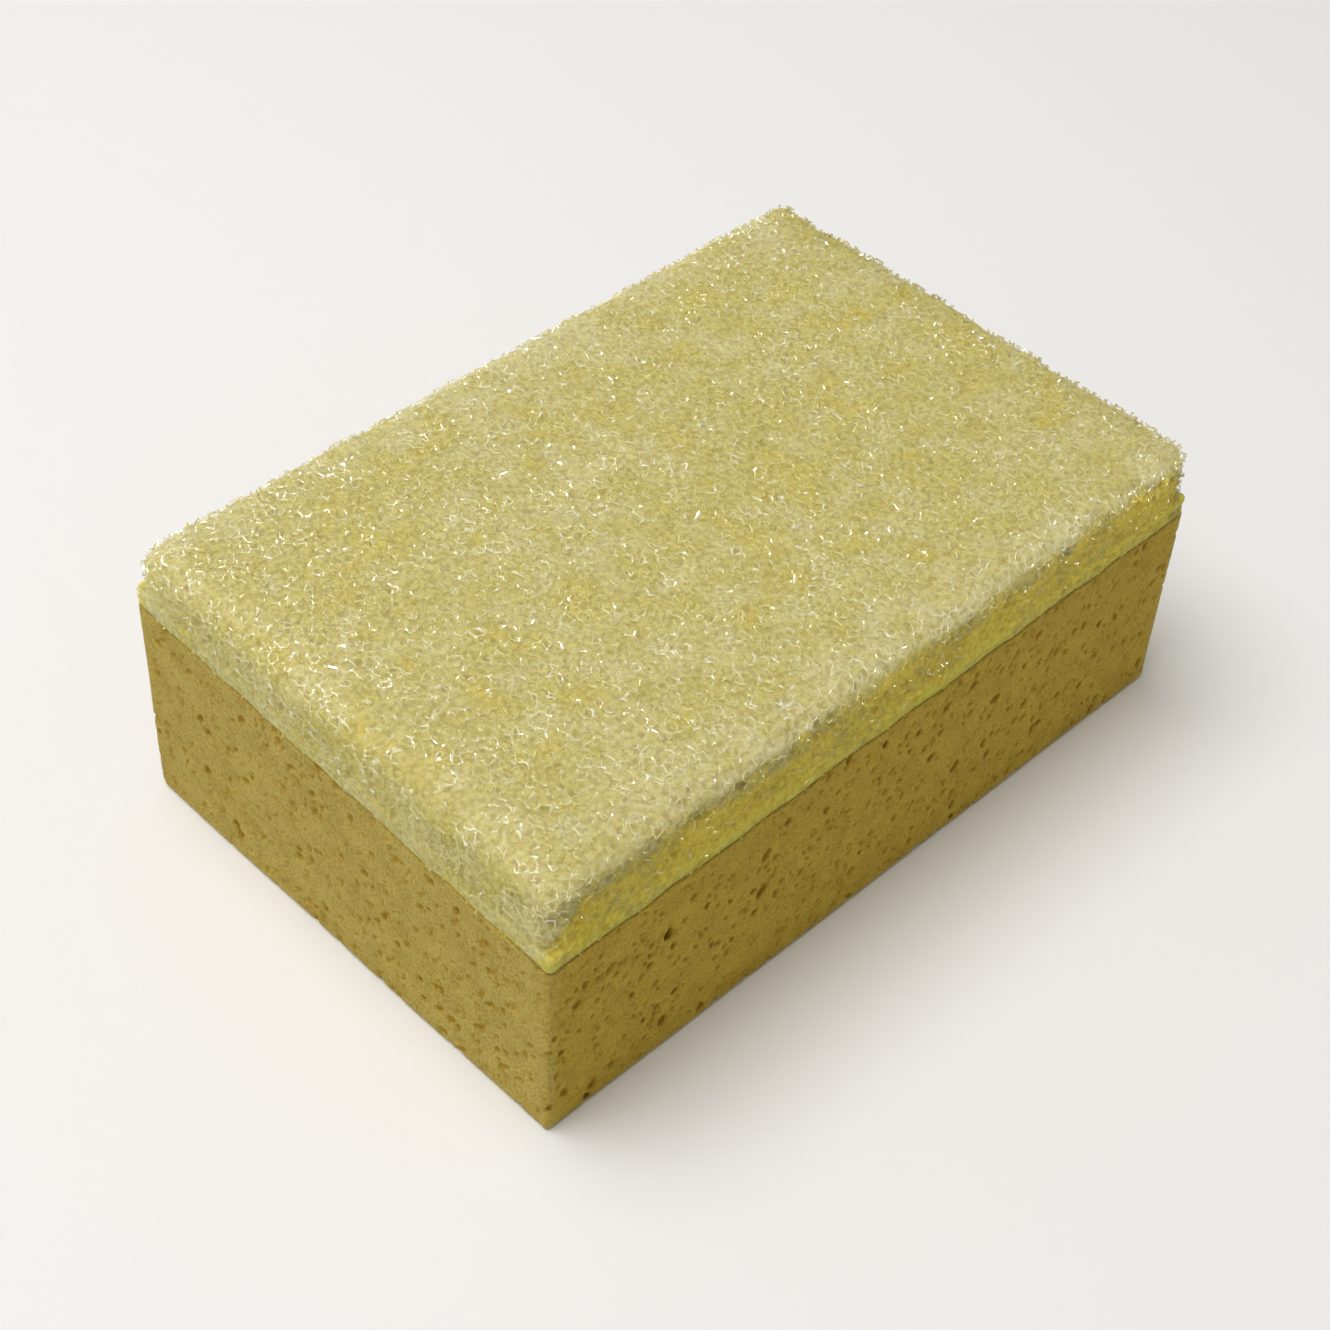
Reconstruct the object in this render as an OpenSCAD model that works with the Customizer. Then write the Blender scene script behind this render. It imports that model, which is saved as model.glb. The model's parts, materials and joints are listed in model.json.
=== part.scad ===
// Tile and grout scrub sponge: a fine-pored sponge block with a coarse open-cell
// scrub pad bonded over its whole top face by a thin film of adhesive.
// Millimetres, +X along the length, +Z up, origin at the middle of the base.

/* [Overall] */
// Length of the sponge along X
length = 165; // [140:1:200]
// Width of the sponge along Y
width = 109; // [90:1:140]

/* [Sponge block] */
// Height of the fine-pored block
block_h = 46; // [30:0.1:70]
// Radius of the block's upright edges
block_corner_r = 1.5; // [0.5:0.1:6]
// Height of the small slope round the block's top edge
slope_h = 2.4; // [0.5:0.1:5]
// Inward reach of that slope
slope_w = 1.0; // [0.2:0.1:3]

/* [Adhesive film] */
// Thickness of the bond between block and pad
film_t = 0.4; // [0.2:0.1:1]
// Distance of the film from the pad's outline, clear of the cut sides
film_inset = 1.6; // [1:0.1:6]

/* [Scrub pad] */
// Thickness of the open-cell pad
pad_h = 15.1; // [6:0.1:25]
// Radius of the pad's upright edges
pad_corner_r = 3; // [1:0.1:8]
// Radius of the pad's worn-in top edges
pad_edge_r = 4; // [0.5:0.1:5]

/* [Hidden] */
$fn = 64;
film_z = block_h;
pad_z = film_z + film_t;
film_corner_r = pad_corner_r - 1 / 2;

// A rectangle of l by w about the origin with all four corners rounded.
module rounded_plan(l, w, r) {
    square([l - 2 * r, w], center = true);
    square([l, w - 2 * r], center = true);
    for (x = [-1, 1], y = [-1, 1])
        translate([x * (l / 2 - r), y * (w / 2 - r)]) circle(r);
}

// The upright outline of a slab, l wide and h high, with two rounded top corners.
module rounded_top(l, h, r) {
    translate([-l / 2, 0]) square([l, h - r]);
    translate([-l / 2 + r, 0]) square([l - 2 * r, h]);
    for (x = [-1, 1])
        translate([x * (l / 2 - r), h - r]) circle(r);
}

// The upright outline of a slab, l wide and h high, whose top corners slope inwards.
module sloped_top(l, h, w, drop) {
    polygon([
        [-l / 2, 0], [l / 2, 0], [l / 2, h - drop],
        [l / 2 - w, h], [-l / 2 + w, h], [-l / 2, h - drop]
    ]);
}

// Pushes an upright outline through the part along Y.
module through_y(depth) {
    rotate([90, 0, 0])
        linear_extrude(height = depth, center = true) children();
}

// Pushes an upright outline through the part along X.
module through_x(depth) {
    rotate([0, 0, 90]) through_y(depth) children();
}

// The block that soaks up water: saw-cut sides, and a slope at the glued edge
// where the cut foam draws in.
module sponge_block() {
    color([0.74, 0.62, 0.30])
        intersection() {
            linear_extrude(height = block_h)
                rounded_plan(length, width, block_corner_r);
            through_y(2 * width) sloped_top(length, block_h, slope_w, slope_h);
            through_x(2 * length) sloped_top(width, block_h, slope_w, slope_h);
        }
}

// The bond line, which stops short of the sides.
module adhesive_film() {
    color([0.86, 0.68, 0.16])
        translate([0, 0, film_z])
            linear_extrude(height = film_t)
                rounded_plan(length - 2 * film_inset, width - 2 * film_inset, film_corner_r);
}

// The coarse pad, its top edges rounded over on all four sides.
module scrub_pad() {
    color([0.84, 0.80, 0.52])
        translate([0, 0, pad_z])
            intersection() {
                linear_extrude(height = pad_h)
                    rounded_plan(length, width, pad_corner_r);
                through_y(2 * width) rounded_top(length, pad_h, pad_edge_r);
                through_x(2 * length) rounded_top(width, pad_h, pad_edge_r);
            }
}

sponge_block();
adhesive_film();
scrub_pad();
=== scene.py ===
"""A grout scrub sponge: a fine sponge block, a patchy glue film and an open-cell scrub pad.

Lengths are in metres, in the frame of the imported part: +X along the sponge, +Z up.
"""

import itertools
import json
import math

import bpy
import numpy as np
import openvdb
from mathutils import Matrix, Vector

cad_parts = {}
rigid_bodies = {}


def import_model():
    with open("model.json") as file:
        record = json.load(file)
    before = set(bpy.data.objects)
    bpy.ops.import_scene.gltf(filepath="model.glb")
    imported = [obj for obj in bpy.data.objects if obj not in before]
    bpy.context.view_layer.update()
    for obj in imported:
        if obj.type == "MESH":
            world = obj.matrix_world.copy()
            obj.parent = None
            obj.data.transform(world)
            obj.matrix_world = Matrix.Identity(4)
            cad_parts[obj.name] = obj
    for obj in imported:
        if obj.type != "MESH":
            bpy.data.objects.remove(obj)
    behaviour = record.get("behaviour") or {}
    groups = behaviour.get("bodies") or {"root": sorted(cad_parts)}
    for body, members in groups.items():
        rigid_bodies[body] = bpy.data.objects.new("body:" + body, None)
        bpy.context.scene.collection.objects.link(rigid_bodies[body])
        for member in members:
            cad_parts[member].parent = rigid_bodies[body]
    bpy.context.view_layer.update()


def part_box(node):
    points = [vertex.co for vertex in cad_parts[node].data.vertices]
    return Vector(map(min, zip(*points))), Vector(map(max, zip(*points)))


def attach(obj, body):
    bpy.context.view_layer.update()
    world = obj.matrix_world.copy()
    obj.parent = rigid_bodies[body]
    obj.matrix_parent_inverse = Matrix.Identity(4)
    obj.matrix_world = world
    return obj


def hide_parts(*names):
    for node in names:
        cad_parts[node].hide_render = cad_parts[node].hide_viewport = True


for leftover in list(bpy.data.objects):
    bpy.data.objects.remove(leftover)
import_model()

MM = 0.001
SQUARE_CM_IN_SQUARE_M = 1e4
# Keeps rounding errors from deciding a comparison or blowing up a division.
TINY = 1e-9
# A vector shorter than this has no direction.
NO_LENGTH = 1e-6
NOISE_CELLS = 48
# A closed skin is cut from a grid that goes this many steps beyond the solid.
GRID_MARGIN = 3
# The share of its panel that a piece leaves free at each side in the bake's layout.
LAYOUT_MARGIN = 0.02

BLOCK = [np.array(corner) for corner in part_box("sponge_block")]
FILM = [np.array(corner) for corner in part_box("adhesive_film")]
PAD = [np.array(corner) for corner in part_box("scrub_pad")]

# The glued joint rises along +X and +Y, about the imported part's level one, and wanders a little.
JOINT_SLOPE = (0.012, 0.044)
JOINT_UNEVEN = 0.5 * MM
JOINT_WAVES_X = (3.1 * MM, 4.7 * MM)
JOINT_WAVES_Y = (2.7 * MM, 5.3 * MM)

# Seeds of the random draws and the noises
PIT_SEED = 41
FILM_RIM_SEED = 42
FILM_TOP_SEED = 43
CELL_SEED = 44
LUMP_SEED = 45
STRUT_SEED = 46
GLUE_SEED = 48
BLOTCH_SEED = 49
SPECKLE_SEED = 50
FINE_LUMP_SEED = 51

# Sponge block: its skin's grid, its edges, the waves that the saw left, and the zone of painted light
# that makes its ends paler
BLOCK_VOXEL = 0.38 * MM
BLOCK_EDGE_R = 1.1 * MM
BLOCK_UNEVEN = 0.12 * MM
SAW_WAVES = (7.1 * MM, 8.3 * MM, 6.1 * MM)
SAW_BEND = 9.7 * MM
PAINTED_END_LIGHT_ZONE = 3.0 * MM
# Each kind of pit: how many on a square centimetre, and its smallest and largest radius.
PIT_KINDS = [(0.25, 0.7 * MM, 1.2 * MM), (8.0, 0.42 * MM, 0.8 * MM), (20.0, 0.3 * MM, 0.45 * MM)]
# Pits favour the small radii of their kind by this power, and lie this many radii deep.
PIT_SMALLNESS = 1.5
PIT_DEPTH = (-0.5, 0.4)
# A pit is this much longer than wide, and its long axis leans about this way.
PIT_STRETCH = (1.1, 2.1)
PIT_LEAN = np.array((0.4, -0.4, 1.0))
PIT_LEAN_SPREAD = 0.35
# Nicks in each of the block's bottom edges
NICKS = 9
NICK_R = (0.6 * MM, 1.3 * MM)
NICK_STRETCH = 1.3
UPRIGHT = np.array((0, 0, 1))

# Adhesive film: its grid, its patches, and how far its rim strays in and out
FILM_GRID = 1.0 * MM
FILM_PATCH = 6.0 * MM
FILM_RAGGED = 1.6 * MM
FILM_RAGGED_MEAN = 0.4
FILM_RAGGED_SWELL = 1.4
# How sharply the ragged shape fades from the rim inwards.
FILM_RIM_POWER = 6
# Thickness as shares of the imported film's: on average, how far it changes, and at the rim.
FILM_MEAN = 0.62
FILM_SWELL = 0.38
FILM_RIM = 0.3

# Scrub pad's foam: the distance between cells, how far each strays as a share of it, and the
# struts' radius, which shrinks to a share of itself at the pad's long sides
CELL_PITCH = 2.3 * MM
CELL_JITTER = 0.2
STRUT_R = 0.23 * MM
STRUT_R_SPREAD = 0.3
SIDE_STRUT_SHARE = 0.5
# A strut that sticks out of the pad keeps at least this share of its length.
LEAST_STUB = 0.15
# How far beyond the pad there are cells, in pitches, to give the outermost struts their ends.
CELL_MARGIN = 1.3
# In half pitches: how many steps away a cell's neighbours are looked for, the greatest squared
# distance of a neighbour, and the greatest of one that can share a node with the cell.
CELL_REACH = 3
REACH_SQUARED = 12
SHARED_SQUARED = 8

# Scrub pad's shape: cut flush with the block just above the glue, rounded and lumpy higher up
PAD_EDGE_R = 4.4 * MM
PAD_SINK = 0.3 * MM
PAD_LUMP = 0.9 * MM
LUMPY_HEIGHT = 8.0 * MM
LUMP_MEAN = 0.7
# Each noise in the lumps: its share, its size and its seed.
LUMPS = [(0.7, 5.0 * MM, LUMP_SEED), (0.5, 2.2 * MM, FINE_LUMP_SEED)]
FLUSH_HEIGHT = 3.6 * MM
FLUSH_EDGE_R = 1.2 * MM
# The struts stand in this depth, in slices along X, over one dimpled core just below the surface.
PAD_SLICES = 4
SHELL_DEPTH = 2.0 * MM
CORE_INSET = 0.45 * MM
CORE_VOXEL = 0.4 * MM
CORE_CELL_R = 1.25 * MM

# Scrub pad's shading: the normals lean outwards by GLOW, from SOFT_EDGE inside its edges
GLOW = 0.65
SOFT_EDGE = 9.0 * MM
WALL_LIFT = 0.6
LONG_WALL_LIFT = 0.9
# The share of hubs painted whitish, a painted highlight standing in for glints
GLINT_PAINT_SHARE = 0.11

# Scrub pad's yellow, from 0 to 1: plain, painted paler near the long edges as painted light, and blotchy
YELLOW = 0.46
RIM_PAINTED_LIGHT = 0.18
RIM_ZONE = 13.0 * MM
BLOTCH = 5.0 * MM
BLOTCH_SHARE = 0.16
SPECKLE = 1.1 * MM
SPECKLE_SHARE = 0.08
SPECKLE_SHARE_LONG_SIDES = 0.16
# How high the glue has soaked in, and how high the painted glow reaches up the middle of the long sides,
# for the yellowed light that passes through the pad into their shade
GLUE_REACH = 0.5 * MM
PAINTED_GLOW_REACH_LONG_SIDES = 22.0 * MM
LEAST_REACH = 0.6 * MM
GLUE_PATCH = 3.5 * MM
GLUE_YELLOW = 0.8
LONG_SIDE_ZONE = 5.0 * MM
CORNER_ZONE = 8.0 * MM
CORNER_SHARE = 0.3

# Camera: where it stands, which way it looks, and how far it is rolled
CAMERA_AT = (-0.2513, -0.2330, 0.3565)
CAMERA_HEADING_DEG = 46.92
CAMERA_DOWN_DEG = 44.71
CAMERA_ROLL_DEG = 3.6
CAMERA_LENS_MM = 67.7
CAMERA_SENSOR_MM = 36
CAMERA_CLIP = (0.01, 20)

# Studio: the floor, the soft surroundings, one large lamp, and the small ones
FLOOR_REACH = 3.0
FLOOR_COLOUR = (0.96, 0.96, 0.96, 1)
STUDIO_COLOUR = (1, 0.97, 0.86, 1)
STUDIO_STRENGTH = 0.31
LAMPS_AIM_AT = (0, 0, 0.04)
KEY_AT = (-0.36, 0.25, 1.4)
KEY_SIZE = 1.1
KEY_POWER = 15.5
KEY_COLOUR = (0.99, 0.98, 1)
# Small lamps that only the glossy foam mirrors
SPARKS_AT = [(-0.4, 0.75, 1.0), (0.3, 0.9, 1.0), (0.9, -0.4, 0.9)]
SPARK_SIZE = 0.06
SPARK_POWER = 13
SPARK_COLOUR = (1, 0.97, 0.88)


def swells(points, size, seed):
    """Smooth noise from -1 to 1 at each point, its highs and lows about the given size apart."""
    table = np.random.default_rng(seed).uniform(-1, 1, (NOISE_CELLS,) * 3)
    place = points / size
    corner = np.floor(place).astype(int)
    ease = place - corner
    ease = ease * ease * (3 - 2 * ease)
    total = np.zeros(len(points))
    for step in itertools.product((0, 1), repeat=3):
        weight = np.where(step, ease, 1 - ease).prod(axis=1)
        total += weight * table[tuple(((corner + step) % NOISE_CELLS).T)]
    return total


def unit(vectors):
    """The vectors along the last axis, each scaled to a length of 1."""
    return vectors / np.maximum(np.linalg.norm(vectors, axis=-1, keepdims=True), NO_LENGTH)


def joint_rise(x, y):
    """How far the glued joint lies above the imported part's joint."""
    wander_x = np.sin(x / JOINT_WAVES_X[0] + np.sin(x / JOINT_WAVES_X[1]))
    wander_y = np.sin(y / JOINT_WAVES_Y[0] + np.sin(y / JOINT_WAVES_Y[1]))
    return JOINT_SLOPE[0] * x + JOINT_SLOPE[1] * y + JOINT_UNEVEN * (wander_x + wander_y) / 2


def rounded_box(x, y, z, low, high, radius):
    """Signed distance to a box with rounded edges, for coordinates that broadcast."""
    middle = (low + high) / 2
    half = (high - low) / 2 - radius
    over = [np.abs(c - m) - h for c, m, h in zip((x, y, z), middle, half)]
    outside = np.sqrt(sum(np.maximum(o, 0) ** 2 for o in over))
    inside = np.minimum(np.maximum(np.maximum(over[0], over[1]), over[2]), 0)
    return outside + inside - radius


def add_box_layout(mesh, points, faces):
    """Texture coordinates for the bake: each face is seen along its main axis, on one of six panels."""
    corners = points[faces]
    turn = np.cross(corners[:, 1] - corners[:, 0], corners[:, 2] - corners[:, 0])
    axis = np.abs(turn).argmax(axis=1)
    column = axis[:, None]
    row = np.take_along_axis(turn, column, axis=1) > 0
    low, high = points.min(axis=0), points.max(axis=0)
    place = LAYOUT_MARGIN + (1 - 2 * LAYOUT_MARGIN) * (corners - low) / (high - low)
    across = np.where(column == 0, place[:, :, 1], place[:, :, 0])
    along = np.where(column == 2, place[:, :, 1], place[:, :, 2])
    layout = np.stack([(column + across) / 3, (row + along) / 2], axis=-1)
    layer = mesh.uv_layers.new(name="OFBake")
    layer.uv.foreach_set("vector", layout.astype(np.float32).ravel())


def mesh_object(name, points, faces):
    """A smooth-shaded object from a point array and an array of equal-sided faces."""
    sides = faces.shape[1]
    mesh = bpy.data.meshes.new(name)
    mesh.vertices.add(len(points))
    mesh.vertices.foreach_set("co", np.asarray(points, np.float32).ravel())
    mesh.loops.add(faces.size)
    mesh.loops.foreach_set("vertex_index", np.asarray(faces, np.int32).ravel())
    mesh.polygons.add(len(faces))
    mesh.polygons.foreach_set("loop_start", np.arange(0, faces.size, sides, dtype=np.int32))
    mesh.polygons.foreach_set("use_smooth", np.ones(len(faces), bool))
    mesh.update(calc_edges=True)
    add_box_layout(mesh, points, faces)
    piece = bpy.data.objects.new(name, mesh)
    bpy.context.scene.collection.objects.link(piece)
    return piece


def add_values(piece, name, values):
    """Stores one number per vertex under a name that a material can read."""
    attribute = piece.data.attributes.new(name, "FLOAT", "POINT")
    attribute.data.foreach_set("value", np.asarray(values, np.float32))


def carve(field, origin, voxel, hole):
    """Cuts one stretched ball out of the distance field, in place."""
    centre, radius, stretch, lean = hole
    reach = radius * stretch + 2 * voxel
    first = np.maximum(((centre - reach - origin) / voxel).astype(int), 0)
    last = np.minimum(((centre + reach - origin) / voxel).astype(int) + 2, field.shape)
    part = tuple(slice(a, b) for a, b in zip(first, last))
    away = [np.arange(a, b) * voxel + o - c for a, b, o, c in zip(first, last, origin, centre)]
    x, y, z = np.ix_(*away)
    along = x * lean[0] + y * lean[1] + z * lean[2]
    across = np.maximum(x * x + y * y + z * z - along * along, 0)
    ball = (np.sqrt(across / radius**2 + along**2 / (radius * stretch) ** 2) - 1) * radius
    field[part] = np.maximum(field[part], -ball)


def carved_skin(name, low, high, voxel, distance, holes):
    """The closed skin of a solid given by its signed distance, with stretched balls cut out of it."""
    margin = GRID_MARGIN * voxel
    origin = low - margin
    counts = np.ceil((high - low) / voxel).astype(int) + 2 * GRID_MARGIN + 1
    field = distance(*np.ix_(*[o + np.arange(n) * voxel for o, n in zip(origin, counts)]))
    for hole in holes:
        carve(field, origin, voxel, hole)
    grid = openvdb.FloatGrid(margin)
    grid.gridClass = openvdb.GridClass.LEVEL_SET
    grid.copyFromArray(np.clip(field, -margin, margin).astype(np.float32), tolerance=0.0)
    points, quads = grid.convertToQuads(isovalue=0.0)
    points = points * voxel + origin
    return mesh_object(name, points, quads[:, ::-1]), points


# ---------------------------------------------------------------- sponge block


def block_distance(x, y, z):
    """Signed distance to the block without its saw marks and pits."""
    low, high = BLOCK
    above_joint = z - joint_rise(x, y) - high[2]
    taller = high + (0, 0, high[2] - low[2])
    return np.maximum(rounded_box(x, y, z, low, taller, BLOCK_EDGE_R), above_joint)


def sawn_block_distance(x, y, z):
    """Signed distance to the block with its faces a little wavy, as a saw leaves foam."""
    wave = np.sin(x / SAW_WAVES[0] + 1.3 * np.sin(z / SAW_BEND)) * np.sin(y / SAW_WAVES[1] + 0.7)
    return block_distance(x, y, z) + BLOCK_UNEVEN * (1 + wave * np.cos(z / SAW_WAVES[2] + 0.4))


def face_pits(rng, axis, side):
    """Centres, radii, stretches and long axes of the pits in the low (0) or high (1) face on an axis."""
    low, high = BLOCK
    area = np.delete(high - low, axis).prod()
    found = []
    for per_square_cm, smallest, largest in PIT_KINDS:
        count = int(per_square_cm * area * SQUARE_CM_IN_SQUARE_M)
        centre = rng.uniform(low, high, (count, 3))
        radius = smallest * (largest / smallest) ** rng.random(count) ** PIT_SMALLNESS
        depth = radius * rng.uniform(*PIT_DEPTH, count)
        centre[:, axis] = high[axis] - depth if side else low[axis] + depth
        stretch = rng.uniform(*PIT_STRETCH, count)
        lean = unit(rng.normal(0, PIT_LEAN_SPREAD, (count, 3)) + PIT_LEAN)
        found += zip(centre, radius, stretch, lean)
    return found


def edge_nicks(rng, axis, side):
    """The same for small nicks in the bottom edge of one upright face."""
    low, high = BLOCK
    centre = rng.uniform(low, high, (NICKS, 3))
    radius = rng.uniform(*NICK_R, NICKS)
    centre[:, axis] = high[axis] + radius / 2 if side else low[axis] - radius / 2
    centre[:, 2] = low[2] - radius / 3
    return [(c, r, NICK_STRETCH, UPRIGHT) for c, r in zip(centre, radius)]


def block_holes():
    """Every pit in the block's five open faces, and the nicks in its bottom edges."""
    rng = np.random.default_rng(PIT_SEED)
    open_faces = [(0, 0), (0, 1), (1, 0), (1, 1), (2, 0)]
    holes = []
    for axis, side in open_faces:
        holes += face_pits(rng, axis, side)
    for axis, side in open_faces[:4]:
        holes += edge_nicks(rng, axis, side)
    return holes


def make_block():
    """The sponge block as one closed skin, with every pit cut into it."""
    low, high = BLOCK
    tallest = high + (0, 0, joint_rise(*high[:2]) + JOINT_UNEVEN)
    holes = block_holes()
    piece, points = carved_skin("sponge_body", low, tallest, BLOCK_VOXEL, sawn_block_distance, holes)
    # The pit depth darkens the foam's colour in its material, as painted shade.
    add_values(piece, "pit_depth", -block_distance(*points.T) / MM)
    # Painted light: the ends are painted paler and bluer, for the whiter light on the lit end.
    add_values(piece, "painted_end_light", np.clip(1 - (high[0] - np.abs(points[:, 0])) / PAINTED_END_LIGHT_ZONE, 0, 1))
    return piece


# ---------------------------------------------------------------- adhesive film


def film_points(u, v):
    """The film's upper points and then its lower ones, over a grid from -1 to 1 each way."""
    low, high = FILM
    flat = np.stack([u.ravel() * high[0], v.ravel() * high[1], np.full(u.size, high[2])], axis=1)
    rim = np.maximum(np.abs(u), np.abs(v)).ravel()
    stray = FILM_RAGGED_MEAN + FILM_RAGGED_SWELL * swells(flat, FILM_PATCH, FILM_RIM_SEED)
    pull = FILM_RAGGED * np.clip(stray, -1, 1)
    for axis in (0, 1):
        flat[:, axis] *= 1 - rim**FILM_RIM_POWER * pull / high[axis]
    thickness = (high[2] - low[2]) * (FILM_MEAN + FILM_SWELL * swells(flat, FILM_PATCH, FILM_TOP_SEED))
    thickness *= np.where(rim == 1, FILM_RIM, 1)
    under = flat.copy()
    under[:, 2] = low[2] + joint_rise(flat[:, 0], flat[:, 1])
    top = under.copy()
    top[:, 2] += thickness
    return np.concatenate([top, under])


def sheet_faces(shape):
    """Faces of a closed sheet: a grid of points, the same grid below it, and the rim between them."""
    count = shape[0] * shape[1]
    number = np.arange(count).reshape(shape)
    square = np.stack([number[:-1, :-1], number[1:, :-1], number[1:, 1:], number[:-1, 1:]], axis=-1)
    square = square.reshape(-1, 4)
    loop = np.concatenate([number[:-1, 0], number[-1, :-1], number[:0:-1, -1], number[0, :0:-1]])
    after = np.roll(loop, -1)
    side = np.stack([loop + count, after + count, after, loop], axis=1)
    return np.concatenate([square, square[:, ::-1] + count, side])


def make_film():
    """The glue between block and pad: a thin closed sheet, uneven on top and ragged at its rim."""
    low, high = FILM
    counts = np.round((high - low)[:2] / FILM_GRID).astype(int) + 1
    u, v = np.meshgrid(*[np.linspace(-1, 1, n) for n in counts], indexing="ij")
    return mesh_object("glue_film", film_points(u, v), sheet_faces(u.shape))


# ---------------------------------------------------------------- scrub pad: shape and colour


def above_glue(points):
    """Height of each point above the glued joint."""
    return points[:, 2] - PAD[0][2] - joint_rise(points[:, 0], points[:, 1])


def pad_outline(points, edge_r=PAD_EDGE_R, inset=0.0):
    """Signed distance to the pad's top and sides, without its lumps."""
    low, high = PAD[0] + inset, PAD[1] - inset
    low[2] -= 4 * PAD_EDGE_R
    return rounded_box(*points.T, low, high, edge_r)


def pad_distance(points, inset=0.0):
    """Signed distance to the pad: cut flush just above the glue, and lumpy and torn above that."""
    height = above_glue(points)
    lumps = LUMP_MEAN + sum(share * swells(points, size, seed) for share, size, seed in LUMPS)
    lumps = PAD_LUMP * lumps / 2 * np.clip(height / LUMPY_HEIGHT, 0, 1)
    loose = pad_outline(points, PAD_EDGE_R, inset) + lumps
    flush = np.maximum(pad_outline(points, FLUSH_EDGE_R, inset / 3), height - FLUSH_HEIGHT)
    return np.maximum(np.minimum(loose, flush), -height - PAD_SINK)


def amber(points):
    """How yellow the pad is: blotchy, paler by its long edges as painted light, amber above the glue,
    painted glow up its long sides.
    """
    from_ends, from_long_sides = (PAD[1] - np.abs(points)).T[:2]
    long_side = np.interp(from_long_sides, (0, LONG_SIDE_ZONE), (1, 0))
    long_side *= np.interp(from_ends, (0, CORNER_ZONE), (CORNER_SHARE, 1))
    # Near the glue the yellow is the glue's own; high up the long sides it is painted glow, for the
    # yellowed light that passes through the pad into their shade.
    reach = GLUE_REACH + (PAINTED_GLOW_REACH_LONG_SIDES - GLUE_REACH) * long_side
    reach += GLUE_PATCH * swells(points, BLOTCH, GLUE_SEED)
    reach = np.maximum(reach, LEAST_REACH)
    glue_and_painted_glow = np.clip(2 * (1 - above_glue(points) / reach), 0, 1)
    glue_and_painted_glow *= GLUE_YELLOW + (1 - GLUE_YELLOW) * long_side
    # Painted light: the pad is painted paler near its long edges, where their rounded rims lie in half
    # shade.
    plain_with_rim_light = YELLOW - RIM_PAINTED_LIGHT * np.interp(from_long_sides, (0, RIM_ZONE), (1, 0))
    speckle_share = SPECKLE_SHARE + SPECKLE_SHARE_LONG_SIDES * long_side
    blotches = BLOTCH_SHARE * swells(points, BLOTCH, BLOTCH_SEED)
    blotches += speckle_share * swells(points, SPECKLE, SPECKLE_SEED)
    return np.clip(np.maximum(plain_with_rim_light, glue_and_painted_glow) + blotches, 0, 1)


def soften_shading(piece, points):
    """Leans the shading normals outwards and upwards, because light passes through the foam."""
    inner = np.clip(points, PAD[0] + SOFT_EDGE, PAD[1] - SOFT_EDGE)
    inner[:, 2] = np.minimum(points[:, 2], PAD[1][2] - SOFT_EDGE)
    outwards = unit(points - inner)
    outwards[:, 2] += WALL_LIFT + LONG_WALL_LIFT * np.abs(outwards[:, 1])
    own = np.empty(points.size, np.float32)
    piece.data.vertex_normals.foreach_get("vector", own)
    leaning = (1 - GLOW) * own.reshape(-1, 3) + GLOW * unit(outwards)
    piece.data.normals_split_custom_set_from_vertices(unit(leaning))


# ---------------------------------------------------------------- scrub pad: foam cells and struts


def squared(offset):
    """The squared length of a step between two cells of the lattice, in half pitches."""
    return sum(c * c for c in offset)


def trio_codes(trios, total):
    """One whole number for each row of three numbers below the total."""
    return (trios[:, 0] * total + trios[:, 1]) * total + trios[:, 2]


def cell_centres():
    """Centres of the foam's cells: a body-centred lattice, shaken, with each site's neighbours."""
    rng = np.random.default_rng(CELL_SEED)
    margin = CELL_MARGIN * CELL_PITCH
    low, high = PAD[0] - margin, PAD[1] + margin
    low[2] -= joint_rise(*PAD[1][:2])
    half_pitch = CELL_PITCH / 2
    counts = np.ceil((high - low) / half_pitch).astype(int) + 1
    steps = np.stack(np.meshgrid(*[np.arange(n) for n in counts], indexing="ij"), -1).reshape(-1, 3)
    parity = steps % 2
    steps = steps[(parity == parity[:, :1]).all(axis=1)]
    centres = low + steps * half_pitch + rng.normal(0, CELL_JITTER * CELL_PITCH, steps.shape)
    number = np.full(counts + 2 * CELL_REACH, -1)
    number[tuple((steps + CELL_REACH).T)] = np.arange(len(steps))
    offsets = [
        o for o in itertools.product(range(-CELL_REACH, CELL_REACH + 1), repeat=3)
        if len({c % 2 for c in o}) == 1 and 0 < squared(o) <= REACH_SQUARED
    ]
    neighbours = {o: number[tuple((steps + CELL_REACH + o).T)] for o in offsets}
    return centres, neighbours


def foam_nodes(centres, neighbours):
    """Where four cells meet: the cells' numbers and the point as far from each of them."""
    close = [o for o in neighbours if o > (0, 0, 0) and squared(o) <= SHARED_SQUARED]
    tests = sorted(neighbours, key=squared)
    cells, places = [], []
    for trio in itertools.combinations(close, 3):
        gaps = [squared(a - b for a, b in zip(p, q)) for p, q in itertools.combinations(trio, 2)]
        if max(gaps) > REACH_SQUARED:
            continue
        ids = np.stack([neighbours[o] for o in trio])
        own = np.nonzero((ids >= 0).all(axis=0))[0]
        ids = ids[:, own]
        meet = meeting_points(*[centres[i] - centres[own] for i in ids])
        radius = (meet * meet).sum(axis=1)
        alive = np.nonzero(radius < CELL_PITCH**2)[0]
        for o in tests:
            if o in trio:
                continue
            other = neighbours[o][own[alive]]
            gap = centres[other] - centres[own[alive]] - meet[alive]
            free = ((gap * gap).sum(axis=1) >= radius[alive] * (1 - TINY)) | (other < 0)
            alive = alive[free]
        cells.append(np.stack([own[alive], *ids[:, alive]], axis=1))
        places.append(centres[own[alive]] + meet[alive])
    return np.concatenate(cells), np.concatenate(places)


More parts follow.
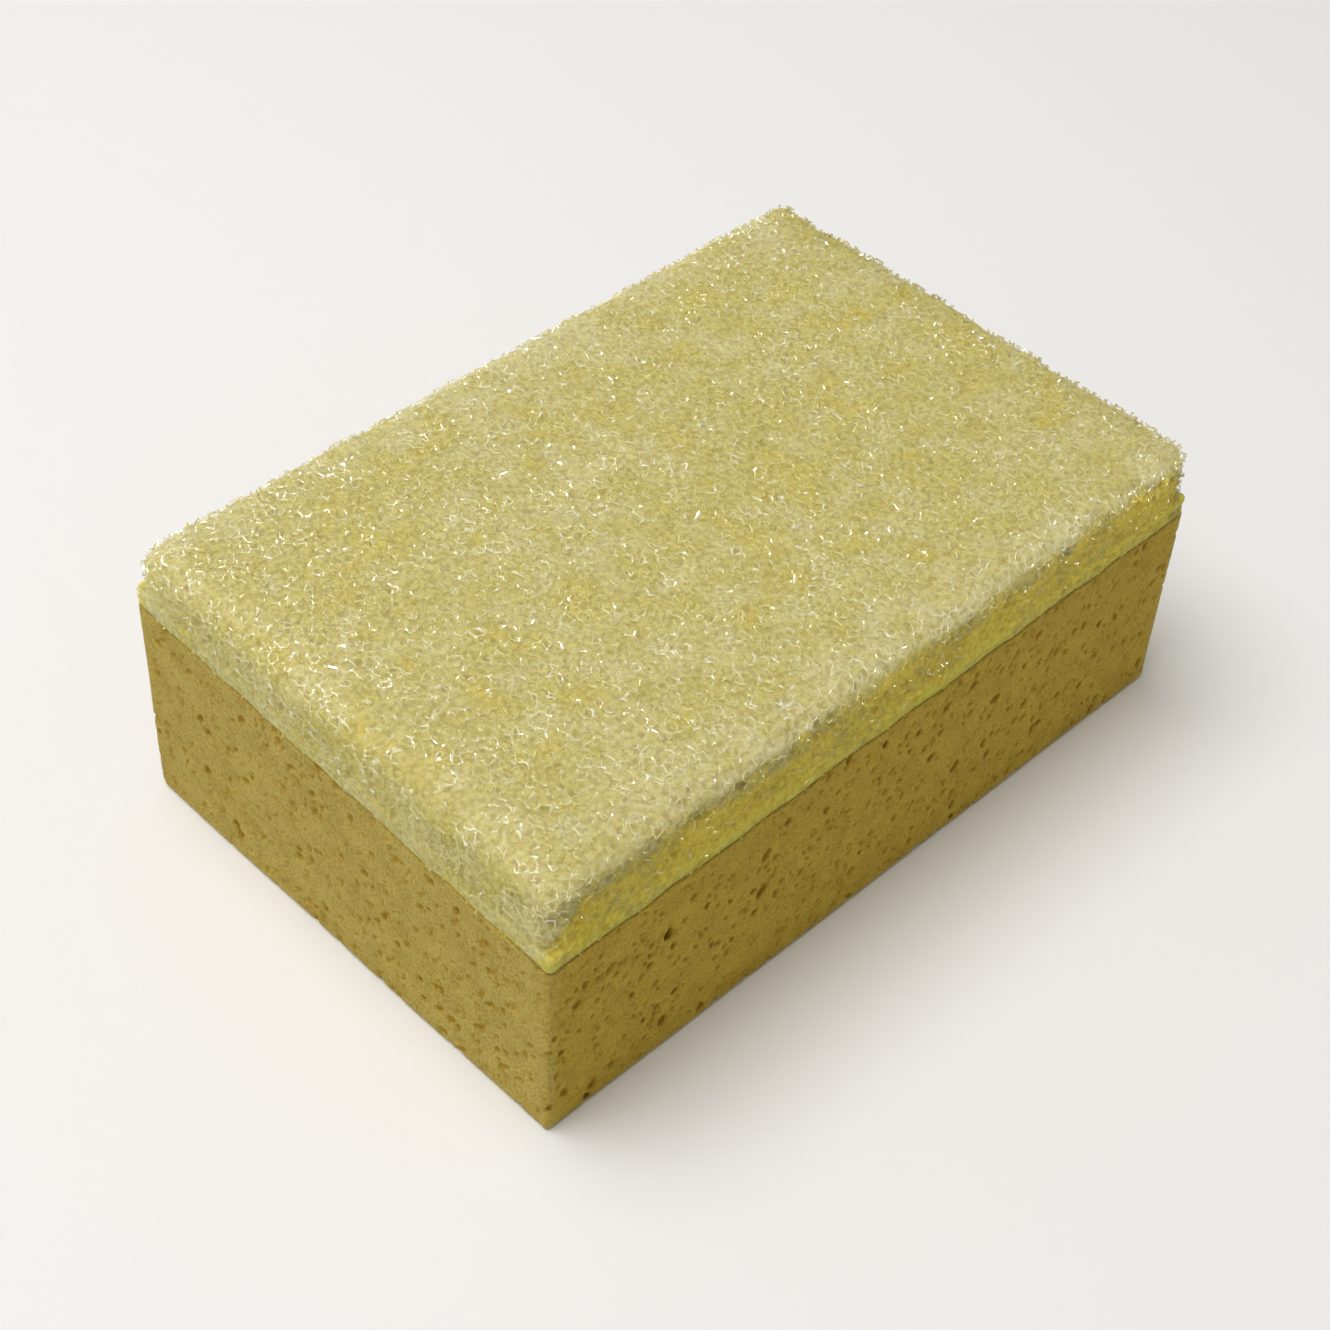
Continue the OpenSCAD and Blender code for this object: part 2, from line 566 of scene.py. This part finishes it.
def meeting_points(a, b, c):
    """The points as far from the origin as from the three given ones."""
    bc, ca, ab = np.cross(b, c), np.cross(c, a), np.cross(a, b)
    size = 2 * (a * bc).sum(axis=1)
    # Four cells in one plane have no meeting point: theirs is sent far away.
    flat = 1e-15
    size[np.abs(size) < flat] = flat
    squares = [(p * p).sum(axis=1)[:, None] for p in (a, b, c)]
    return (squares[0] * bc + squares[1] * ca + squares[2] * ab) / size[:, None]


def foam_struts(cells):
    """Pairs of nodes that share three cells, and where those cells stand in each node's list."""
    faces, owners, corners = [], [], []
    for left_out in range(4):
        kept = [k for k in range(4) if k != left_out]
        order = np.argsort(cells[:, kept], axis=1)
        faces.append(np.take_along_axis(cells[:, kept], order, axis=1))
        corners.append(np.array(kept)[order])
        owners.append(np.arange(len(cells)))
    faces, owners, corners = map(np.concatenate, (faces, owners, corners))
    keys = trio_codes(faces, cells.max() + 1)
    order = np.argsort(keys, kind="stable")
    pair = np.nonzero(keys[order][1:] == keys[order][:-1])[0]
    first, second = order[pair], order[pair + 1]
    return owners[first], owners[second], corners[first], corners[second]


def connected(count, first, second):
    """Which of the numbered things are in the largest group that the pairs join."""
    label = np.arange(count)
    while True:
        least = np.minimum(label[first], label[second])
        fresh = label.copy()
        np.minimum.at(fresh, first, least)
        np.minimum.at(fresh, second, least)
        fresh = fresh[fresh]
        if (fresh == label).all():
            break
        label = fresh
    names, sizes = np.unique(label, return_counts=True)
    return label == names[sizes.argmax()]


def shell_struts(cells, places, outside):
    """The struts of the pad's outer shell, each starting at a node inside it.

    Gives the two nodes, the corners of each that the strut joins, and whether it ends outside.
    """
    first, second, first_corners, second_corners = foam_struts(cells)
    inside = (outside < 0) & (pad_outline(places) > -SHELL_DEPTH)
    both = inside[first] & inside[second]
    body = connected(len(places), first[both], second[both]) & inside
    swap = ~body[first] & body[second]
    first[swap], second[swap] = second[swap], first[swap]
    first_corners[swap], second_corners[swap] = second_corners[swap], first_corners[swap]
    used = body[first]
    first, second = first[used], second[used]
    return first, second, first_corners[used], second_corners[used], ~body[second]


# ---------------------------------------------------------------- scrub pad: pieces


def core_distance(x, y, z):
    """Signed distance to the pad's inside, which its outer struts cover."""
    x, y, z = np.broadcast_arrays(x, y, z)
    points = np.stack([x.ravel(), y.ravel(), z.ravel()], axis=1)
    return pad_distance(points, CORE_INSET).reshape(x.shape)


def make_core(centres):
    """The pad's inside as one body, dimpled by the cells that lie at its surface."""
    depth = core_distance(*centres.T)
    near = (depth > CORE_CELL_R / 2) & (depth < CORE_CELL_R)
    near &= above_glue(centres) > CORE_CELL_R
    holes = [(centre, CORE_CELL_R, 1.0, UPRIGHT) for centre in centres[near]]
    lowest = PAD[0] - (0, 0, joint_rise(*PAD[1][:2]) + JOINT_UNEVEN + PAD_SINK)
    piece, points = carved_skin("pad_core", lowest, PAD[1], CORE_VOXEL, core_distance, holes)
    add_values(piece, "amber", amber(points))
    soften_shading(piece, points)
    return piece


def node_hubs(rng, centres, cells, places):
    """Four points round each node, one towards each of its cells, between which the struts run."""
    girth = STRUT_R * rng.uniform(1 - STRUT_R_SPREAD, 1 + STRUT_R_SPREAD, len(places))
    from_long_sides = PAD[1][1] - np.abs(places[:, 1])
    girth *= np.interp(from_long_sides, (0, LONG_SIDE_ZONE), (SIDE_STRUT_SHARE, 1))
    return places[:, None] + unit(centres[cells] - places[:, None]) * girth[:, None, None]


def stub_shares(starts_outside, ends_outside):
    """How much of each strut is kept: all of it, or only the part within the pad."""
    span = np.minimum(starts_outside - np.maximum(ends_outside, 0), -TINY)
    return np.where(ends_outside > 0, np.clip(starts_outside / span, LEAST_STUB, 1), 1)


def make_pad(centres, neighbours):
    """The open-cell pad: a strut along every line where three cells meet, in slices along X."""
    rng = np.random.default_rng(STRUT_SEED)
    cells, places = foam_nodes(centres, neighbours)
    outside = pad_distance(places)
    first, second, first_corners, second_corners, cut = shell_struts(cells, places, outside)
    hubs = node_hubs(rng, centres, cells, places)
    start = hubs[first[:, None], first_corners]
    end = hubs[second[:, None], second_corners]
    tips = start + (end - start) * stub_shares(outside[first], outside[second])[:, None, None]
    points = np.concatenate([hubs.reshape(-1, 3), tips[cut].reshape(-1, 3)])
    # Painted highlight: a share of the hubs is painted whitish, for glints.
    glint_paint = np.clip(rng.random(len(places)) - 1 + GLINT_PAINT_SHARE, 0, None) / GLINT_PAINT_SHARE
    glint_paint = np.concatenate([np.repeat(glint_paint, 4), np.zeros(3 * cut.sum())])

    start_ids = 4 * first[:, None] + first_corners
    end_ids = 4 * second[:, None] + second_corners
    end_ids[cut] = 4 * len(places) + np.arange(3 * cut.sum()).reshape(-1, 3)
    spin = np.cross(start[:, 1] - start[:, 0], start[:, 2] - start[:, 0])
    backwards = (spin * (places[second] - places[first])).sum(axis=1) < 0
    start_ids[backwards] = start_ids[backwards][:, ::-1]
    end_ids[backwards] = end_ids[backwards][:, ::-1]

    middle = (places[first] + places[second])[:, 0] / 2
    low, high = PAD[0][0], PAD[1][0]
    slice_of = np.clip(((middle - low) / (high - low) * PAD_SLICES).astype(int), 0, PAD_SLICES - 1)
    pieces = []
    for k in range(PAD_SLICES):
        own = slice_of == k
        name = f"pad_slice_{k + 1}"
        pieces.append(strut_piece(name, points, glint_paint, start_ids[own], end_ids[own], cut[own]))
    return pieces


def strut_piece(name, points, glint_paint, start_ids, end_ids, cut):
    """One slice of the pad: three sides to each strut, and a cap wherever a ring is left open."""
    sides = []
    for k in range(3):
        n = (k + 1) % 3
        sides.append(np.stack([start_ids[:, k], start_ids[:, n], end_ids[:, n], end_ids[:, k]], axis=1))
    sides = np.concatenate(sides)
    rings = np.concatenate([start_ids, end_ids[~cut][:, ::-1]])
    caps = np.concatenate([end_ids[cut], hub_caps(points, rings)])
    triangles = np.concatenate([sides[:, [0, 1, 2]], sides[:, [0, 2, 3]], caps])
    used, triangles = np.unique(triangles, return_inverse=True)
    piece = mesh_object(name, points[used], triangles.reshape(-1, 3))
    add_values(piece, "amber", amber(points[used]))
    add_values(piece, "painted_glint", glint_paint[used])
    soften_shading(piece, points[used])
    piece.visible_shadow = False
    return piece


def hub_caps(points, rings):
    """The sides of the hubs that no strut leaves from, facing away from each hub's middle."""
    hubs = np.unique(rings // 4)
    hub_sides = np.array([[1, 2, 3], [0, 2, 3], [0, 1, 3], [0, 1, 2]])
    wanted = (4 * hubs[:, None, None] + hub_sides).reshape(-1, 3)
    taken = trio_codes(np.sort(rings, axis=1), len(points))
    caps = wanted[~np.isin(trio_codes(wanted, len(points)), taken)]
    base = points[caps[:, 0]]
    turn = np.cross(points[caps[:, 1]] - base, points[caps[:, 2]] - base)
    hub_middle = points[(caps[:, 0] // 4)[:, None] * 4 + np.arange(4)].mean(axis=1)
    inward = (turn * (base - hub_middle)).sum(axis=1) < 0
    caps[inward] = caps[inward][:, ::-1]
    return caps


# ---------------------------------------------------------------- materials


def new_material(name, **values):
    """A material with one Principled shader, its sockets set from values named like the sockets."""
    material = bpy.data.materials.new(name)
    material.use_nodes = True
    shader = material.node_tree.nodes["Principled BSDF"]
    for socket, value in values.items():
        shader.inputs[socket.replace("_", " ")].default_value = value
    return material, material.node_tree, shader


def attribute_value(tree, name):
    """The number stored on the vertices under a name."""
    attribute = tree.nodes.new("ShaderNodeAttribute")
    attribute.attribute_name = name
    return attribute.outputs["Fac"]


def ramp(tree, value, stops):
    """A colour ramp with the given (value, colour) stops."""
    node = tree.nodes.new("ShaderNodeValToRGB")
    elements = node.color_ramp.elements
    while len(elements) < len(stops):
        elements.new(0.5)
    for element, (position, colour) in zip(elements, stops):
        element.position = position
        element.color = (*colour, 1)
    tree.links.new(value, node.inputs["Fac"])
    return node.outputs["Color"]


def grain(tree, size, detail=2.0):
    """Noise in object space, its grains about the given size."""
    place = tree.nodes.new("ShaderNodeTexCoord")
    noise = tree.nodes.new("ShaderNodeTexNoise")
    noise.inputs["Scale"].default_value = 1 / size
    noise.inputs["Detail"].default_value = detail
    tree.links.new(place.outputs["Object"], noise.inputs["Vector"])
    return noise.outputs["Fac"]


def mixed(tree, kind, factor, first, second):
    """Two colours combined; the factor is a number or a socket."""
    node = tree.nodes.new("ShaderNodeMix")
    node.data_type = "RGBA"
    node.blend_type = kind
    if isinstance(factor, (int, float)):
        node.inputs["Factor"].default_value = factor
    else:
        tree.links.new(factor, node.inputs["Factor"])
    for socket, value in ((node.inputs[6], first), (node.inputs[7], second)):
        if isinstance(value, tuple):
            socket.default_value = (*value, 1)
        else:
            tree.links.new(value, socket)
    return node.outputs[2]


def add_bump(tree, shader, height, distance):
    """Roughens the surface by a height between 0 and 1, scaled to the given distance."""
    bump = tree.nodes.new("ShaderNodeBump")
    bump.inputs["Distance"].default_value = distance
    tree.links.new(height, bump.inputs["Height"])
    tree.links.new(bump.outputs["Normal"], shader.inputs["Normal"])


def add_scattering(shader, weight, radius, scale):
    """Light that sinks in and comes out nearby, each colour as far as its radius times the scale."""
    shader.inputs["Subsurface Weight"].default_value = weight
    shader.inputs["Subsurface Radius"].default_value = radius
    shader.inputs["Subsurface Scale"].default_value = scale


def sponge_material():
    """Fine matt foam: painted shade in its pits and small pores, and ends painted paler as painted
    light.
    """
    material, tree, shader = new_material("fine_sponge", Roughness=0.85, Specular_IOR_Level=0.2)
    pit_depth = attribute_value(tree, "pit_depth")
    # Painted shade: both ramps darken the foam with its depth down in the pits.
    side = ramp(tree, pit_depth, [
        (0.15, (0.53, 0.38, 0.045)),
        (0.5, (0.46, 0.30, 0.03)),
        (1.0, (0.40, 0.25, 0.02)),
    ])
    # Painted light: this paler, bluer ramp on the ends stands in for the whiter light on the lit end.
    end = ramp(tree, pit_depth, [
        (0.15, (0.56, 0.44, 0.105)),
        (0.5, (0.54, 0.38, 0.06)),
        (1.0, (0.50, 0.33, 0.04)),
    ])
    foam = mixed(tree, "MIX", attribute_value(tree, "painted_end_light"), side, end)
    tones = ramp(tree, grain(tree, 5 * MM), [(0.35, (0.88, 0.86, 0.80)), (0.65, (1, 1, 1))])
    fine_grain = grain(tree, 0.55 * MM, 4.0)
    # Painted shade: the fine noise darkens the small pores.
    painted_pore_shade = ramp(tree, fine_grain, [(0.38, (0.80, 0.74, 0.6)), (0.55, (1, 1, 1))])
    colour = mixed(tree, "MULTIPLY", 1.0, mixed(tree, "MULTIPLY", 1.0, foam, tones), painted_pore_shade)
    tree.links.new(colour, shader.inputs["Base Color"])
    add_scattering(shader, 0.5, (1.0, 0.7, 0.25), 1.2 * MM)
    add_bump(tree, shader, fine_grain, 0.25 * MM)
    return material


def glue_material():
    """Satin amber glue in uneven tones."""
    material, tree, shader = new_material("amber_glue", Roughness=0.35)
    tones = ramp(tree, grain(tree, 4 * MM), [(0.35, (0.58, 0.36, 0.03)), (0.65, (0.70, 0.48, 0.06))])
    tree.links.new(tones, shader.inputs["Base Color"])
    add_bump(tree, shader, grain(tree, 1.2 * MM), 0.2 * MM)
    return material


def strut_material():
    """Glossy struts: off-white to amber, with hubs here and there painted whitish as painted glints."""
    material, tree, shader = new_material("scrub_foam", Roughness=0.1, IOR=1.6)
    # Amber's pale low end is painted light on the long rims; its bright yellow top end is glue, and
    # painted glow up the long sides.
    colour = ramp(tree, attribute_value(tree, "amber"), [
        (0.1, (0.78, 0.73, 0.42)),
        (0.5, (0.66, 0.60, 0.24)),
        (0.75, (0.74, 0.62, 0.15)),
        (1.0, (0.94, 0.75, 0.12)),
    ])
    # Painted highlight: the whitish hubs stand in for glints.
    colour = mixed(tree, "MIX", attribute_value(tree, "painted_glint"), colour, (0.97, 0.96, 0.86))
    tree.links.new(colour, shader.inputs["Base Color"])
    add_scattering(shader, 0.2, (1.0, 0.9, 0.5), 0.1 * MM)
    return material


def core_material():
    """The foam below the struts: the same colours a little deeper, crumbly and translucent."""
    material, tree, shader = new_material("scrub_foam_core", Roughness=0.4, Specular_IOR_Level=0.1)
    # The same painted light on the long rims and painted glow up the long sides as on the struts.
    colour = ramp(tree, attribute_value(tree, "amber"), [
        (0.1, (0.77, 0.71, 0.40)),
        (0.5, (0.64, 0.56, 0.19)),
        (0.75, (0.72, 0.60, 0.13)),
        (1.0, (0.93, 0.73, 0.10)),
    ])
    crumbs = ramp(tree, grain(tree, 1.1 * MM, 3.0), [(0.35, (0.76, 0.73, 0.64)), (0.6, (1, 1, 1))])
    tree.links.new(mixed(tree, "MULTIPLY", 1.0, colour, crumbs), shader.inputs["Base Color"])
    add_scattering(shader, 1, (1.0, 0.9, 0.4), 6 * MM)
    add_bump(tree, shader, grain(tree, 0.9 * MM, 3.0), 0.5 * MM)
    return material


# ---------------------------------------------------------------- stage


def make_camera():
    """The camera, aimed by heading, downward angle and roll."""
    heading, down = math.radians(CAMERA_HEADING_DEG), math.radians(CAMERA_DOWN_DEG)
    level = math.cos(down)
    forward = Vector((math.sin(heading) * level, math.cos(heading) * level, -math.sin(down)))
    right = forward.cross(Vector((0, 0, 1))).normalized()
    up = right.cross(forward)
    aim = Matrix((right, up, -forward)).transposed().to_4x4()
    data = bpy.data.cameras.new("camera")
    data.lens = CAMERA_LENS_MM
    data.sensor_width = CAMERA_SENSOR_MM
    data.clip_start, data.clip_end = CAMERA_CLIP
    camera = bpy.data.objects.new("camera", data)
    roll = Matrix.Rotation(math.radians(CAMERA_ROLL_DEG), 4, "Z")
    camera.matrix_world = Matrix.Translation(CAMERA_AT) @ aim @ roll
    bpy.context.scene.collection.objects.link(camera)
    bpy.context.scene.camera = camera


def make_floor():
    """A wide pale floor under the sponge."""
    mesh = bpy.data.meshes.new("floor")
    corners = [(x * FLOOR_REACH, y * FLOOR_REACH, 0) for x, y in ((-1, -1), (1, -1), (1, 1), (-1, 1))]
    mesh.from_pydata(corners, [], [(0, 1, 2, 3)])
    floor = bpy.data.objects.new("floor", mesh)
    bpy.context.scene.collection.objects.link(floor)
    material, _, shader = new_material("pale_floor", Roughness=0.8, Specular_IOR_Level=0)
    shader.inputs["Base Color"].default_value = FLOOR_COLOUR
    mesh.materials.append(material)


def add_lamp(name, place, size, power, colour):
    """A round lamp that shines at the sponge."""
    data = bpy.data.lights.new(name, "AREA")
    data.shape = "DISK"
    data.size = size
    data.energy = power
    data.color = colour
    lamp = bpy.data.objects.new(name, data)
    lamp.location = place
    lamp.rotation_euler = (Vector(LAMPS_AIM_AT) - Vector(place)).to_track_quat("-Z", "Y").to_euler()
    bpy.context.scene.collection.objects.link(lamp)
    return lamp


def light_scene():
    """Soft light from all round, one large lamp above, and small ones for the glints."""
    world = bpy.data.worlds.new("studio")
    world.use_nodes = True
    background = world.node_tree.nodes["Background"]
    background.inputs["Color"].default_value = STUDIO_COLOUR
    background.inputs["Strength"].default_value = STUDIO_STRENGTH
    bpy.context.scene.world = world
    add_lamp("key", KEY_AT, KEY_SIZE, KEY_POWER, KEY_COLOUR)
    for number, place in enumerate(SPARKS_AT):
        spark = add_lamp(f"spark_{number + 1}", place, SPARK_SIZE, SPARK_POWER, SPARK_COLOUR)
        spark.visible_diffuse = False


make_camera()
make_floor()
light_scene()

block = make_block()
block.data.materials.append(sponge_material())
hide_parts("sponge_block")
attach(block, "root")

film = make_film()
film.data.materials.append(glue_material())
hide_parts("adhesive_film")
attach(film, "root")

strut = strut_material()
centres, neighbours = cell_centres()
core = make_core(centres)
core.data.materials.append(core_material())
for piece in [core, *make_pad(centres, neighbours)]:
    if piece is not core:
        piece.data.materials.append(strut)
    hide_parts("scrub_pad")
    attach(piece, "root")

bpy.context.scene.view_settings.view_transform = "Standard"
